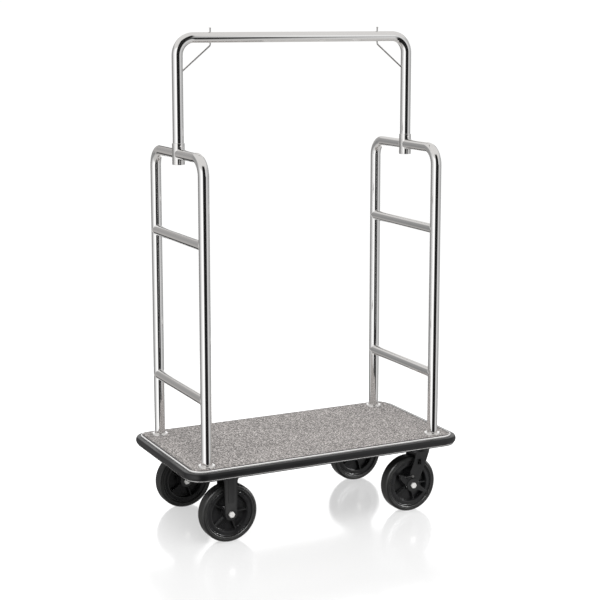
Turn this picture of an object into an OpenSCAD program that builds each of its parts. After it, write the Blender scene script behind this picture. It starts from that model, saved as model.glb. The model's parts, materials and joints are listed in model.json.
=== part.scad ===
// Hotel luggage cart: a carpeted deck on four casters, two tube hoops and a garment rail.
// X runs along the deck, Y across it, Z up. The origin is on the floor under the middle.

/* [Deck] */
// Length of the deck over its edge channel
deck_l = 1040; // [900:2:1248]
// Width of the deck over its edge channel
deck_w = 544; // [530:2:654]
// Corner radius of the edge channel, outside
corner_r = 50; // [42:1:70]
// Thickness of the plywood board
board_t = 18; // [12:1:24]
// Thickness of the carpet
carpet_t = 4; // [3:0.5:6]
// Depth of the steel channels under the board
under_h = 18; // [15:0.5:24]
// Wall of the steel channels under the board
under_wall = 3; // [2:0.5:4]
// Width of a cross channel, along X
cross_w = 180; // [170:2:200]
// How far each cross channel's middle is from the middle of the deck
cross_x = 398; // [392:1:404]

/* [Edge channel and bumper] */
// How far the edge channel reaches below the board
edge_drop = 13; // [11:0.5:15]
// Thickness of the edge channel's web
edge_web = 2; // [1.5:0.5:3]
// Width of the bead that shows round the carpet
bead_w = 4; // [3:0.5:6]
// Height of the bead that shows round the carpet
bead_h = 5; // [4:0.5:7]
// How far the bead stands above the carpet
bead_rise = 1; // [0.5:0.5:2]
// How far the bumper stands out from the bead
bumper_out = 19; // [14:0.5:24]
// Height of the bright strip in the foot of the bumper
trim_h = 3; // [2:0.5:4]
// How far the bright strip stands out from the bead
trim_out = 12; // [10:0.5:13]
// Height of the rubber lip under the bright strip
lip_h = 3; // [2:0.5:4]

/* [Hoops and rail] */
// Outside diameter of the hoop, rung and rail tube
tube_d = 38; // [31:1:42]
// Wall of that tube
tube_wall = 2; // [1.5:0.25:3]
// Distance between the two hoops, centre to centre
hoop_gap = 900; // [880:2:920]
// Distance between the two posts of a hoop, centre to centre
hoop_span = 440; // [400:2:450]
// Height of the hoop's top bar above the floor
hoop_z = 1333; // [1200:1:1600]
// Height of the lower rungs above the floor
rung_low_z = 510; // [420:1:620]
// Height of the upper rungs above the floor
rung_high_z = 1042; // [860:1:1100]
// Height of the garment bar above the floor
rail_z = 1727; // [1620:1:2070]
// Centre-line radius of every tube bend
bend_r = 60; // [50:1:72]
// Outside diameter of the sockets that hold the garment rail
socket_d = 43.5; // [43:0.5:50]
// Length of those sockets
socket_l = 74; // [62:1:90]
// Depth of the rail's leg in its socket
seat_depth = 62; // [40:1:62]
// Diameter of the garment hook rod
rod_d = 6; // [5:0.5:8]
// How far each hook rod stands in from the rail's leg
rod_inset = 122; // [100:1:150]
// How far the hook rod stands above the garment bar
rod_rise = 15; // [10:1:25]
// How far below the garment bar the hook rod meets the leg
rod_drop = 112; // [95:1:135]
// Diameter of the flange at each post's foot
flange_d = 62; // [58:1:70]
// Height of that flange above the board
flange_h = 11; // [8:0.5:14]

/* [Casters] */
// Height of a caster, floor to top plate
caster_h = 241; // [232:1:290]
// Diameter of the wheels
wheel_d = 208; // [173:1:210]
// Width of the tyres
tyre_w = 46; // [42:1:54]
// Thickness of the tyre, from its tread to the rim
tyre_t = 18; // [14:1:22]
// Thickness of the rim's outer ring
ring_t = 20; // [12:1:24]
// Width of the wheel's hub
hub_w = 52; // [50:1:56]
// Diameter of the wheel's hub
hub_d = 48; // [44:1:52]
// How far the rigid wheels are from the middle of the deck
rigid_x = 367; // [356:1:378]
// How far the swivel casters' kingpins are from the middle of the deck
swivel_x = 402; // [394:1:410]
// How far all casters are from the deck's middle line
caster_y = 204; // [190:1:208]
// Trail of a swivel caster, kingpin to axle
trail = 45; // [38:1:54]
// Length of a caster's top plate, along X
plate_l = 100; // [96:1:104]
// Width of a caster's top plate, along Y
plate_w = 85; // [82:1:90]
// Thickness of a caster's top plate
plate_t = 4; // [3:0.5:5]
// Bolt spacing of a caster's top plate, along X
bolt_x = 80; // [76:1:82]
// Bolt spacing of a caster's top plate, along Y
bolt_y = 60; // [56:1:64]
// Thickness of a fork leg
fork_t = 3.5; // [3:0.25:4]
// Gap between the two legs of a fork, inside
fork_gap = 61; // [60:0.5:64]
// Diameter of the axle bolts
axle_d = 12; // [10:0.5:12]
// Outside diameter of the spacer tube inside the hub
spacer_d = 15; // [14:0.5:16]
// Diameter of the kingpin
kingpin_d = 12; // [10:0.5:14]

/* [Brake] */
// How far the brake pedal turns
pedal_turn = 25; // [20:1:28]
// How far the brake shoe moves towards the hub
shoe_travel = 2; // [1:0.1:2]

/* [Hidden] */
$fn = 72;
slip = 0.1;          // gap round a part that is pushed into another and fixed
run = 0.05;          // gap round a pin that turns in a bore
clear = 0.3;         // least gap between parts that move past each other
deck_z = caster_h + under_h;
board_z = deck_z + board_t;
carpet_z = board_z + carpet_t;
bead_z = carpet_z + bead_rise;
inner_l = deck_l - 2 * bead_w;
inner_w = deck_w - 2 * bead_w;
inner_r = corner_r - bead_w;
edge_foot = deck_z - edge_drop;
rim_d = wheel_d - 2 * tyre_t;
ledge_w = 10;         // width of the ledge under the board
ledge_in = bead_w + ledge_w + 2;
tube_r = tube_d / 2;
post_y = hoop_span / 2;
hoop_x = hoop_gap / 2;
post_bolt_d = 10;
plate_bolt_d = 8;
plug_l = 30;
rod_x = hoop_x - rod_inset;
rod_bend = 12;
axle_z = wheel_d / 2;
wheel_right_x = swivel_x - trail;
leg_y = fork_gap / 2;
leg_out = leg_y + fork_t;
nut_h = 10;
head_h = 7.5;
head_af = 19;
pedal_t = 6;
pedal_y = leg_out + 0.5;              // back face of the pedal, from the wheel's middle
bearing_w = 11;
bearing_d = 35;
crown_t = 4;
ball_d = 5;
crown_z = caster_h - 17;              // top face of the swivel fork's crown
end_names = ["left", "right"];
side_names = ["front", "rear"];

// ---- small helpers ----

// A cylinder along Y, centred on the origin
module along_y(d, h, fn = $fn) rotate([90, 0, 0]) cylinder(d = d, h = h, center = true, $fn = fn);

// A cylinder along Y from y0 to y1
module bar_y(d, y0, y1, fn = $fn)
    translate([0, (y0 + y1) / 2, 0]) along_y(d, y1 - y0, fn);

// A hexagon head or nut along Y from y0 to y1, measured across its flats
module hex_y(flats, y0, y1) bar_y(flats / cos(30), y0, y1, 6);

// A tube along Z
module tube(d, wall, h)
    difference() {
        cylinder(d = d, h = h);
        translate([0, 0, -1]) cylinder(d = d - 2 * wall, h = h + 2);
    }

// The ring that a tube's bend is turned from, at its centre-line radius
module tube_bend() rotate_extrude(angle = 90) translate([bend_r, 0]) difference() {
    circle(d = tube_d);
    circle(d = tube_d - 2 * tube_wall);
}

// A rectangle with round corners, flat
module round_rect(l, w, r) {
    square([l - 2 * r, w], center = true);
    square([l, w - 2 * r], center = true);
    for (x = [-1, 1], y = [-1, 1])
        translate([x * (l / 2 - r), y * (w / 2 - r)]) circle(r);
}

// Carries a flat profile (outward distance, height) round the deck's edge
module round_the_deck() {
    for (s = [0, 1]) {
        mirror([0, s, 0]) translate([0, deck_w / 2, 0]) rotate([90, 0, 90])
            linear_extrude(deck_l - 2 * corner_r, center = true) children();
        mirror([s, 0, 0]) translate([deck_l / 2, 0, 0]) rotate([90, 0, 0])
            linear_extrude(deck_w - 2 * corner_r, center = true) children();
    }
    for (x = [0, 1], y = [0, 1])
        mirror([x, 0, 0]) mirror([0, y, 0])
            translate([deck_l / 2 - corner_r, deck_w / 2 - corner_r, 0])
                rotate_extrude(angle = 90) translate([corner_r, 0]) children();
}

// Puts its children at the foot of all four posts, at the board's top face
module at_posts() for (x = [-1, 1], y = [-1, 1])
    translate([x * hoop_x, y * post_y, board_z]) children();

// Puts its children at the middle of all four caster plates, at the top of the casters
module at_plates() for (x = [-rigid_x, swivel_x], y = [-1, 1])
    translate([x, y * caster_y, caster_h]) children();

// Puts its children at a plate's four bolts
module at_bolts() for (x = [-1, 1], y = [-1, 1])
    translate([x * bolt_x / 2, y * bolt_y / 2, 0]) children();

// ---- deck ----

module deck_board() color("burlywood")
    difference() {
        translate([0, 0, deck_z]) linear_extrude(board_t)
            round_rect(inner_l - 2 * slip, inner_w - 2 * slip, inner_r - slip);
        at_posts() translate([0, 0, -board_t - 1])
            cylinder(d = post_bolt_d + 1, h = board_t + 2);
    }

module carpet() color("darkgray")
    difference() {
        translate([0, 0, board_z]) linear_extrude(carpet_t)
            round_rect(inner_l - 1, inner_w - 1, inner_r - 0.5);
        at_posts() translate([0, 0, -1]) cylinder(d = flange_d + 1, h = carpet_t + 2);
    }

// Web, the bead on top of it and the ledge that the board rests on
module edge_profile() {
    translate([-bead_w, edge_foot]) square([edge_web, bead_z - edge_foot]);
    translate([-bead_w, bead_z - bead_h]) square([bead_w, bead_h]);
    translate([-bead_w - ledge_w, deck_z - edge_web]) square([ledge_w + 1, edge_web]);
}

module edge_channel() color("lightgray") round_the_deck() edge_profile();

// Round-fronted rubber with a groove for the bright strip and a thin lip under it
module bumper_profile() {
    foot = edge_foot + lip_h + trim_h;
    top = bead_z - bead_h;
    difference() {
        union() {
            intersection() {
                translate([edge_web - bead_w, foot])
                    square([bumper_out + bead_w, top - foot]);
                translate([0, (foot + top) / 2]) circle(bumper_out);
            }
            translate([edge_web - bead_w, edge_foot]) square([trim_out - 4 + bead_w - edge_web,
                top - edge_foot]);
            translate([edge_web - bead_w, edge_foot]) square([trim_out - 1, lip_h]);
        }
        translate([0, foot - trim_h]) square([trim_out + 5, trim_h]);
    }
}

module bumper() color("#202020") round_the_deck() bumper_profile();

module bumper_trim() color("silver") round_the_deck()
    translate([0, edge_foot + lip_h]) square([trim_out, trim_h]);

module cross_channels() color("dimgray")
    for (s = [-1, 1]) difference() {
        intersection() {
            translate([s * cross_x, 0, caster_h + under_h / 2])
                cube([cross_w, deck_w, under_h], center = true);
            translate([0, 0, caster_h]) linear_extrude(under_h)
                round_rect(deck_l - 2 * ledge_in, deck_w - 2 * ledge_in, corner_r - ledge_in);
        }
        translate([s * cross_x, 0, caster_h + under_wall + under_h / 2])
            cube([cross_w - 2 * under_wall, deck_w, under_h], center = true);
        at_plates() at_bolts() translate([0, 0, -1])
            cylinder(d = plate_bolt_d + 1, h = under_wall + 2);
    }

module stiffeners() color("dimgray")
    for (y = [-1, 1]) {
        len = 2 * cross_x - cross_w;
        translate([0, y * inner_w / 4, caster_h + under_h / 2]) difference() {
            cube([len, 30, under_h], center = true);
            cube([len + 2, 30 - 4, under_h - 4], center = true);
        }
    }

// ---- hoops, rungs and their feet ----

// One half of a hoop: a post, a bend and half of the top bar, coped to the socket
module half_hoop() difference() {
    union() {
        translate([0, -post_y, board_z])
            tube(tube_d, tube_wall, hoop_z - bend_r - board_z);
        translate([0, bend_r - post_y, hoop_z - bend_r]) rotate([0, -90, 0])
            rotate([0, 0, -90]) tube_bend();
        translate([0, bend_r - post_y, hoop_z]) rotate([-90, 0, 0])
            tube(tube_d, tube_wall, post_y - bend_r);
    }
    translate([0, 0, hoop_z]) cylinder(d = socket_d, h = tube_d + 2, center = true);
}

module hoop_half_at(x, side) color("silver")
    translate([x, 0, 0]) mirror([0, side, 0]) half_hoop();

// A rung, coped to the two posts
module rung(x, z) color("silver")
    translate([x, 0, z]) difference() {
        along_y(tube_d, hoop_span);
        along_y(tube_d - 2 * tube_wall, hoop_span + 2);
        for (y = [-1, 1]) translate([0, y * post_y, 0])
            cylinder(d = tube_d, h = tube_d + 2, center = true);
    }

module foot_flanges() color("silver") at_posts() rotate_extrude() {
    bore = tube_r + slip;
    dome_r = flange_d / 2 - bore + 4;
    translate([bore, 0]) intersection() {
        square([flange_d / 2 - bore, flange_h]);
        translate([-1, flange_h - dome_r]) circle(dome_r);
    }
}

module post_plugs() color("gray") at_posts() difference() {
    cylinder(d = tube_d - 2 * tube_wall - 2 * slip, h = plug_l);
    translate([0, 0, -1]) cylinder(d = post_bolt_d + 2 * slip, h = plug_l + 2);
}

module post_bolts() color("gray") at_posts() {
    translate([0, 0, -board_t]) cylinder(d = post_bolt_d, h = board_t + plug_l - 5);
    translate([0, 0, -board_t - 2]) cylinder(d = 24, h = 2);
    translate([0, 0, -board_t - 8]) cylinder(d = 17 / cos(30), h = 6, $fn = 6);
}

// ---- garment rail ----

module socket(x) color("silver")
    translate([x, 0, hoop_z]) difference() {
        cylinder(d = socket_d, h = socket_l, center = true);
        translate([0, 0, socket_l / 2 - seat_depth])
            cylinder(d = tube_d + 2 * slip, h = seat_depth + 1);
        cylinder(d = tube_d - 2 * tube_wall, h = socket_l + 2, center = true);
        translate([0, 0, socket_l / 2 - 10]) rotate([90, 0, 0]) cylinder(d = 5, h = socket_d);
    }

module socket_screws() color("dimgray") for (x = [-1, 1])
    translate([x * hoop_x, -tube_r - slip, hoop_z + socket_l / 2 - 10])
        rotate([90, 0, 0]) cylinder(d = 5 - slip, h = (socket_d - tube_d) / 2 - slip);

module garment_rail() color("silver") {
    foot = hoop_z + socket_l / 2 - seat_depth;
    difference() {
        union() {
            for (s = [0, 1]) mirror([s, 0, 0]) {
                translate([hoop_x, 0, foot])
                    tube(tube_d, tube_wall, rail_z - bend_r - foot);
                translate([hoop_x - bend_r, 0, rail_z - bend_r]) rotate([90, 0, 0])
                    tube_bend();
            }
            translate([bend_r - hoop_x, 0, rail_z]) rotate([0, 90, 0])
                tube(tube_d, tube_wall, hoop_gap - 2 * bend_r);
        }
        for (x = [-1, 1]) translate([x * rod_x, 0, rail_z])
            cylinder(d = rod_d + 2 * slip, h = tube_d + 2, center = true);
    }
}

// A rod through the garment bar that bends below it and runs down to the leg
module garment_hook(side) color("silver") mirror([side, 0, 0]) {
    corner_z = rail_z - tube_r - 8;
    run_x = rod_inset - tube_r;
    run_z = corner_z - (rail_z - rod_drop);
    lean = atan2(run_x, run_z);
    back = rod_bend * tan(lean / 2);
    top = rail_z + tube_r + rod_rise;
    lap = 1;                         // the straight ends reach this far into the bend
    difference() {
        union() {
            translate([-rod_x, 0, corner_z + back - lap])
                cylinder(d = rod_d, h = top - corner_z - back + lap);
            translate([-rod_x, 0, top - 2.5]) cylinder(d = rod_d + 2.5, h = 2.5);
            translate([-rod_x - rod_bend, 0, corner_z + back]) rotate([-90, 0, 0])
                rotate_extrude(angle = lean) translate([rod_bend, 0]) circle(d = rod_d + 0.2);
            translate([-rod_x, 0, corner_z]) rotate([0, 180 + lean, 0])
                translate([0, 0, back - lap])
                    cylinder(d = rod_d, h = norm([run_x, run_z]) - back + lap + rod_d);
        }
        translate([-hoop_x, 0, hoop_z]) cylinder(d = tube_d, h = rail_z - hoop_z);
    }
}

// ---- caster parts ----

// The flat top plate with its four bolt holes
module top_plate() difference() {
    translate([0, 0, -plate_t / 2]) cube([plate_l, plate_w, plate_t], center = true);
    at_bolts() translate([0, 0, -plate_t - 1]) cylinder(d = plate_bolt_d + 1, h = plate_t + 2);
}

module plate_bolts() color("silver") at_plates() at_bolts() {
    translate([0, 0, -plate_t]) cylinder(d = plate_bolt_d, h = plate_t + under_wall + 8);
    translate([0, 0, -plate_t - 5.5]) cylinder(d = 13 / cos(30), h = 5.5, $fn = 6);
}

module plate_nuts() color("silver") at_plates() at_bolts()
    translate([0, 0, under_wall]) difference() {
        cylinder(d = 13 / cos(30), h = 6.5, $fn = 6);
        translate([0, 0, -1]) cylinder(d = plate_bolt_d + 2 * run, h = 9);
    }

// Outline of a rigid fork's leg, with the axle at the origin
module rigid_leg_outline() {
    top = caster_h - axle_z;
    difference() {
        union() {
            polygon([[-22, 0], [22, 0], [25, top - 20], [34, top], [-34, top], [-25, top - 20]]);
            circle(22.2);
        }
        circle(d = axle_d + 2 * slip);
    }
}

// Puts its flat children on both legs of a fork, at the axle
module on_legs() for (s = [0, 1]) mirror([0, s, 0])
    translate([0, -leg_y, axle_z]) rotate([90, 0, 0]) linear_extrude(fork_t) children();

module rigid_fork(side) color("#404040")
    translate([-rigid_x, side * caster_y, 0]) {
        translate([0, 0, caster_h]) top_plate();
        on_legs() intersection() {
            rigid_leg_outline();
            translate([-40, -30]) square([80, caster_h - plate_t - axle_z + 30 + plate_t / 2]);
        }
        for (s = [-1, 1])
            translate([0, s * (leg_out + 0.5), axle_z + 41 + 45])
                cube([22, 2, 90], center = true);
    }

// Outline of a swivel fork's leg, with the axle at the origin and the kingpin on +X
module swivel_leg_outline() {
    top = crown_z - axle_z;
    difference() {
        union() {
            polygon([[-21, 4], [-10, 34], [-7, 52], [3, 72], [trail - 27, top],
                [trail + 27, top], [59, 84], [48, 57], [20, -6]]);
            circle(22);
        }
        circle(d = axle_d + 2 * slip);
        translate([22, 73]) square([15, 20]);
    }
}

module swivel_fork(side) color("#404040")
    translate([swivel_x, side * caster_y, 0]) {
        difference() {
            translate([0, 0, crown_z - crown_t]) intersection() {
                cylinder(r = 38, h = crown_t);
                translate([-50, -leg_out, 0]) cube([100, 2 * leg_out, crown_t]);
            }
            translate([0, 0, crown_z - crown_t - 1])
                cylinder(d = kingpin_d + 2 * run, h = crown_t + 2);
        }
        translate([-trail, 0, 0]) difference() {
            on_legs() swivel_leg_outline();
            for (s = [-1, 1]) translate([0, -leg_y, axle_z + s * shoe_pin_r])
                along_y(shoe_pin_d + 2 * clear, 4 * fork_t);
            translate([0, -leg_out, axle_z + brake_pin_z]) along_y(brake_pin_d, 3 * fork_t);
        }
    }

// Top plate with the pressed cup that runs over the ball ring
module swivel_plate(side) color("#505050")
    translate([swivel_x, side * caster_y, 0]) {
        cup_top = caster_h - plate_t;
        difference() {
            translate([0, 0, caster_h]) top_plate();
            translate([0, 0, caster_h - plate_t - 1])
                cylinder(d = kingpin_d, h = plate_t + 2);
        }
        difference() {
            translate([0, 0, crown_z + clear])
                cylinder(r = 41, h = cup_top - crown_z - clear);
            translate([0, 0, crown_z])
                cylinder(r = 38 + clear, h = ball_d + clear);
            translate([0, 0, crown_z]) cylinder(r = 24, h = caster_h - crown_z - plate_t);
        }
    }

module kingpins() color("gray") for (y = [-1, 1])
    translate([swivel_x, y * caster_y, 0]) {
        foot = crown_z - crown_t - clear;
        translate([0, 0, foot]) cylinder(d = kingpin_d, h = caster_h - foot);
        translate([0, 0, foot - 5]) cylinder(d1 = kingpin_d + 2, d2 = kingpin_d + 8, h = 5);
    }

module swivel_balls(side) color("lightgray")
    for (i = [0:17]) translate([swivel_x, side * caster_y, crown_z + ball_d / 2])
        rotate([0, 0, i * 20]) translate([32, 0, 0]) sphere(d = ball_d);

// Where each wheel stands, by end (-1 left, 1 right) and side (-1 front, 1 rear)
module at_wheel(end, side)
    translate([end < 0 ? -rigid_x : wheel_right_x, side * caster_y, axle_z]) children();

// Head, shank and end of an axle bolt; lift moves its head out past a brake pedal
module axle_bolt(lift) {
    hex_y(head_af, -leg_out - lift - head_h, -leg_out - lift);
    bar_y(axle_d, -leg_out - lift, leg_out + nut_h + 2);
}

module axle_nut() difference() {
    hex_y(head_af, leg_out, leg_out + nut_h);
    along_y(axle_d + 2 * run, 2 * (leg_out + nut_h + 1));
}

module spacer() difference() {
    along_y(spacer_d, fork_gap);
    along_y(axle_d + 2 * slip, fork_gap + 2);
}

// ---- wheels ----

// Turns a flat profile (radius, offset along the axle) round the axle
module turned_y() rotate([90, 0, 0]) rotate_extrude() children();

module tyre(end, side) color("#181818") at_wheel(end, side) turned_y() {
    inner = rim_d / 2;
    outer = wheel_d / 2;
    round_r = min(12, outer - inner - 1);
    translate([inner, -tyre_w / 2]) square([outer - round_r - inner, tyre_w]);
    translate([inner, round_r - tyre_w / 2])
        square([outer - inner, tyre_w - 2 * round_r]);
    for (s = [-1, 1]) intersection() {
        translate([outer - round_r, s * (tyre_w / 2 - round_r)]) circle(round_r);
        translate([inner, -tyre_w / 2]) square([outer - inner, tyre_w]);
    }
}

module rim(end, side) color("#282828") at_wheel(end, side) {
    ring_in = rim_d / 2 - ring_t;
    first = end < 0 ? 3 : -2;        // where the first rib stands, from +X towards +Z
    ring_w = tyre_w - 8;
    seat = bearing_d / 2;
    turned_y() {
        translate([seat, -hub_w / 2]) square([hub_d / 2 - seat, hub_w]);
        translate([seat - 3, -hub_w / 2 + bearing_w])
            square([4, hub_w - 2 * bearing_w]);
        translate([hub_d / 2 - 2, -4]) square([ring_in - hub_d / 2 + 3, 8]);
        translate([ring_in, -ring_w / 2]) square([rim_d / 2 - ring_in, ring_w]);
    }
    for (i = [0:4]) rotate([0, -first - i * 72, 0])
        translate([hub_d / 2 - 2, -ring_w / 2 + 3, -2.5])
            cube([ring_in - hub_d / 2 + 4, ring_w - 6, 5]);
}

module bearings(end, side) color("silver") at_wheel(end, side)
    for (s = [-1, 1]) difference() {
        bar_y(bearing_d, s < 0 ? -hub_w / 2 : hub_w / 2 - bearing_w,
            s < 0 ? bearing_w - hub_w / 2 : hub_w / 2);
        along_y(spacer_d + 2 * run, hub_w + 2);
    }

// ---- brake on the front swivel caster ----

shoe_pin_d = 4.4;
shoe_pin_r = 15;
shoe_t = 2.2;
brake_pin_d = 6;
brake_pin_z = 33;
wire_d = 1.6;
wire_end = [-33, 34];                // where the wire hooks into the pedal, from the axle
wire_ratio = 1.5;                    // the wire's turn about its pin per turn of the pedal

module at_brake() translate([wheel_right_x, -caster_y, axle_z]) children();

// A sloping pocket in the pedal's back that pushes one of the shoe's pins in as the pedal turns
module ramp(base) {
    pin_half = shoe_pin_d / 2 + clear;
    chord = 2 * shoe_pin_r * sin(pedal_turn / 2);
    bulge = shoe_pin_r * (1 - cos(pedal_turn / 2));
    slope = atan2(shoe_travel, chord);
    floor_z = (shoe_travel + shoe_pin_d / 2 * tan(slope)) * cos(slope);
    w = 2 * (pin_half + bulge);
    translate([0, -pedal_y, 0]) rotate([90, 0, 0]) rotate([0, 0, base])
        translate([shoe_pin_r, 0, 0]) rotate([slope, 0, -pedal_turn / 2])
            translate([-w / 2, -chord - 2 * pin_half, floor_z - 8])
                cube([w, chord + 3 * pin_half + 0.7, 8]);
}

// Where the wire's end is, seen from the pedal, once the pedal has turned by a
function wire_at(a) = let (
    arm = wire_end - [0, brake_pin_z],
    b = atan2(arm[1], arm[0]) + wire_ratio * a,
    p = [0, brake_pin_z] + norm(arm) * [cos(b), sin(b)])
    [p[0] * cos(a) + p[1] * sin(a), p[1] * cos(a) - p[0] * sin(a)];

// The slot in the pedal that the wire's end slides along as the pedal turns
module wire_slot() {
    from = wire_at(0);
    to = wire_at(pedal_turn);
    w = wire_d + 2 * clear + 1.2;
    translate(from) rotate(atan2(to[1] - from[1], to[0] - from[0])) {
        translate([0, -w / 2]) square([norm(to - from), w]);
        circle(d = w);
        translate([norm(to - from), 0]) circle(d = w);
    }
}

// Bow-tie pedal with two foot tabs; ramps in its back push the shoe's pins in as it turns
module brake_pedal() color("#383838") at_brake() {
    difference() {
        union() {
            translate([0, -pedal_y, 0]) rotate([90, 0, 0]) {
                cylinder(d = 48, h = pedal_t);
                linear_extrude(3) polygon([[-56, 33], [-52, 46], [-2, 23], [28, -3],
                    [63, -33], [60, -39], [13, -17], [-26, 0]]);
            }
            translate([-54, -pedal_y - 14, 39.5]) rotate([0, 17, 0])
                translate([-1.5, 0, -6.5]) cube([3, 14, 13]);
            translate([61, -pedal_y - 14, -36]) rotate([0, 27, 0])
                translate([-1.5, 0, -3]) cube([3, 14, 6]);
        }
        along_y(axle_d + 2 * run, 200);
        for (base = [90, 270]) ramp(base);
        translate([0, -pedal_y + 1, 0]) rotate([90, 0, 0]) linear_extrude(5) wire_slot();
    }
}

// Friction ring inside the fork with two pins that reach through the leg to the pedal
module brake_shoe() color("gray") at_brake() {
    difference() {
        bar_y(44, -leg_y, shoe_t - leg_y);
        along_y(spacer_d + 1, 200);
    }
    for (s = [-1, 1]) translate([0, 0, s * shoe_pin_r])
        bar_y(shoe_pin_d, -pedal_y - shoe_travel + clear, -leg_y);
}

module brake_pin() color("silver") at_brake()
    translate([0, 0, brake_pin_z]) bar_y(brake_pin_d, -pedal_y - 6, -leg_y);

// Wire hooked round the pin; its end slides in the pedal's slot as the pedal turns
module brake_wire() color("lightgray") at_brake() {
    y = -pedal_y - 4.5;
    eye = brake_pin_d / 2 + wire_d / 2 + clear;
    dx = wire_end[0];
    dz = wire_end[1] - brake_pin_z;
    translate([0, y, brake_pin_z]) rotate([90, 0, 0]) rotate_extrude()
        translate([eye, 0]) circle(d = wire_d);
    translate([0, y, brake_pin_z]) rotate([0, -90 + atan2(dz, -dx), 0])
        translate([0, 0, eye]) cylinder(d = wire_d - 0.3, h = norm([dx, dz]) - eye);
    translate([dx, 0, wire_end[1]]) bar_y(wire_d, y - wire_d / 2, 1 - pedal_y);
}

// ---- the nodes ----

deck_board();
carpet();
edge_channel();
bumper();
bumper_trim();
cross_channels();
stiffeners();
hoop_half_at(-hoop_x, 0);  // hoop_left_front
hoop_half_at(-hoop_x, 1);  // hoop_left_rear
hoop_half_at(hoop_x, 0);  // hoop_right_front
hoop_half_at(hoop_x, 1);  // hoop_right_rear
rung(-hoop_x, rung_low_z);  // rung_left_low
rung(-hoop_x, rung_high_z);  // rung_left_high
rung(hoop_x, rung_low_z);  // rung_right_low
rung(hoop_x, rung_high_z);  // rung_right_high
socket(-hoop_x);  // socket_left
socket(hoop_x);  // socket_right
garment_rail();
garment_hook(0);  // garment_hook_left
garment_hook(1);  // garment_hook_right
foot_flanges();
post_plugs();
post_bolts();
socket_screws();
plate_bolts();
plate_nuts();
rigid_fork(-1);  // rigid_fork_front
rigid_fork(1);  // rigid_fork_rear
color("silver")  // rigid_axle_bolts
    for (y = [-1, 1]) at_wheel(-1, y) axle_bolt(0);
color("silver")  // rigid_axle_nuts
    for (y = [-1, 1]) at_wheel(-1, y) axle_nut();
color("gray")  // rigid_spacers
    for (y = [-1, 1]) at_wheel(-1, y) spacer();
swivel_plate(-1);  // swivel_plate_front
swivel_plate(1);  // swivel_plate_rear
kingpins();
swivel_fork(-1);  // swivel_fork_front
swivel_fork(1);  // swivel_fork_rear
swivel_balls(-1);  // swivel_balls_front
swivel_balls(1);  // swivel_balls_rear
color("silver")  // swivel_axle_bolt_front
    at_wheel(1, -1) axle_bolt(0.5 + pedal_t + clear);
color("silver")  // swivel_axle_bolt_rear
    at_wheel(1, 1) axle_bolt(0);
color("silver") at_wheel(1, -1) axle_nut();  // swivel_axle_nut_front
color("silver") at_wheel(1, 1) axle_nut();  // swivel_axle_nut_rear
color("gray") at_wheel(1, -1) spacer();  // swivel_spacer_front
color("gray") at_wheel(1, 1) spacer();  // swivel_spacer_rear
tyre(-1, -1);  // tyre_left_front
tyre(-1, 1);  // tyre_left_rear
tyre(1, -1);  // tyre_right_front
tyre(1, 1);  // tyre_right_rear
rim(-1, -1);  // rim_left_front
rim(-1, 1);  // rim_left_rear
rim(1, -1);  // rim_right_front
rim(1, 1);  // rim_right_rear
bearings(-1, -1);  // bearings_left_front
bearings(-1, 1);  // bearings_left_rear
bearings(1, -1);  // bearings_right_front
bearings(1, 1);  // bearings_right_rear
brake_pedal();
brake_shoe();
brake_pin();
brake_wire();
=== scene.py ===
import json
import math

import bmesh
import bpy
import numpy as np
from mathutils import Matrix, Vector

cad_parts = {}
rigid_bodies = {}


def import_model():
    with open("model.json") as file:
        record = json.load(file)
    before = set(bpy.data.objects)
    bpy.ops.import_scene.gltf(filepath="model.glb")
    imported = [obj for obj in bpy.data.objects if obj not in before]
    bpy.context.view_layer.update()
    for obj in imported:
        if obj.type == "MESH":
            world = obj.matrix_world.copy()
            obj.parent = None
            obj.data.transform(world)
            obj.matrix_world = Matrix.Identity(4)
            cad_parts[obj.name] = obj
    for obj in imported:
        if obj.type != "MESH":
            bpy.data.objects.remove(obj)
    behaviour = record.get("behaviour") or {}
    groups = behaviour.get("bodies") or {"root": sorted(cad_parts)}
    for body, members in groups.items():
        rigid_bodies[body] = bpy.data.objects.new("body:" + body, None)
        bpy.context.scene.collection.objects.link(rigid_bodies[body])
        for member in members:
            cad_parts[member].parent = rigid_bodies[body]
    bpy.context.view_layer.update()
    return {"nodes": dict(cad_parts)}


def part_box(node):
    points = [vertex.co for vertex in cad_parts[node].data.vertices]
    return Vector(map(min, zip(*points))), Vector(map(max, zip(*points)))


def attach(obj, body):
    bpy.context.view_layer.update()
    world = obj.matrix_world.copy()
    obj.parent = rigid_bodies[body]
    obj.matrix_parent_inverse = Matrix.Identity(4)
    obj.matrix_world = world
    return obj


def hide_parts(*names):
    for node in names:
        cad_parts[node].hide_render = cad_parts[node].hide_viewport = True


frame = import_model()

MM = 0.001


# ---- Deck board and its steel under-frame ----
# A plywood board lies on a ledge of the edge channel. Two pressed steel channels and two steel
# tubes under it carry the casters. They are sprayed black. The real board is left bare; here it is
# darkened all over as painted shade, so the gap at the carpet's rim reads as a shadowed groove.

def corner_of(node):
    """Lowest and highest corner of a CAD node as two arrays, in metres."""
    low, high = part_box(node)
    return np.array(low), np.array(high)


def new_material(name):
    """A material with its node tree and its Principled shader."""
    material = bpy.data.materials.new(name)
    material.use_nodes = True
    tree = material.node_tree
    shader = tree.nodes["Principled BSDF"]
    return material, tree, shader


def add_node(tree, kind, inputs=(), **settings):
    """One node of that kind. Inputs are (socket, value or output socket); the rest are its settings."""
    node = tree.nodes.new(kind)
    for key, value in settings.items():
        setattr(node, key, value)
    for key, value in dict(inputs).items():
        if isinstance(value, bpy.types.NodeSocket):
            tree.links.new(value, node.inputs[key])
        else:
            node.inputs[key].default_value = value
    return node


def calc(tree, operation, *values):
    """The result of a Math node for up to three values."""
    return add_node(tree, "ShaderNodeMath", dict(enumerate(values)), operation=operation).outputs[0]


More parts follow.
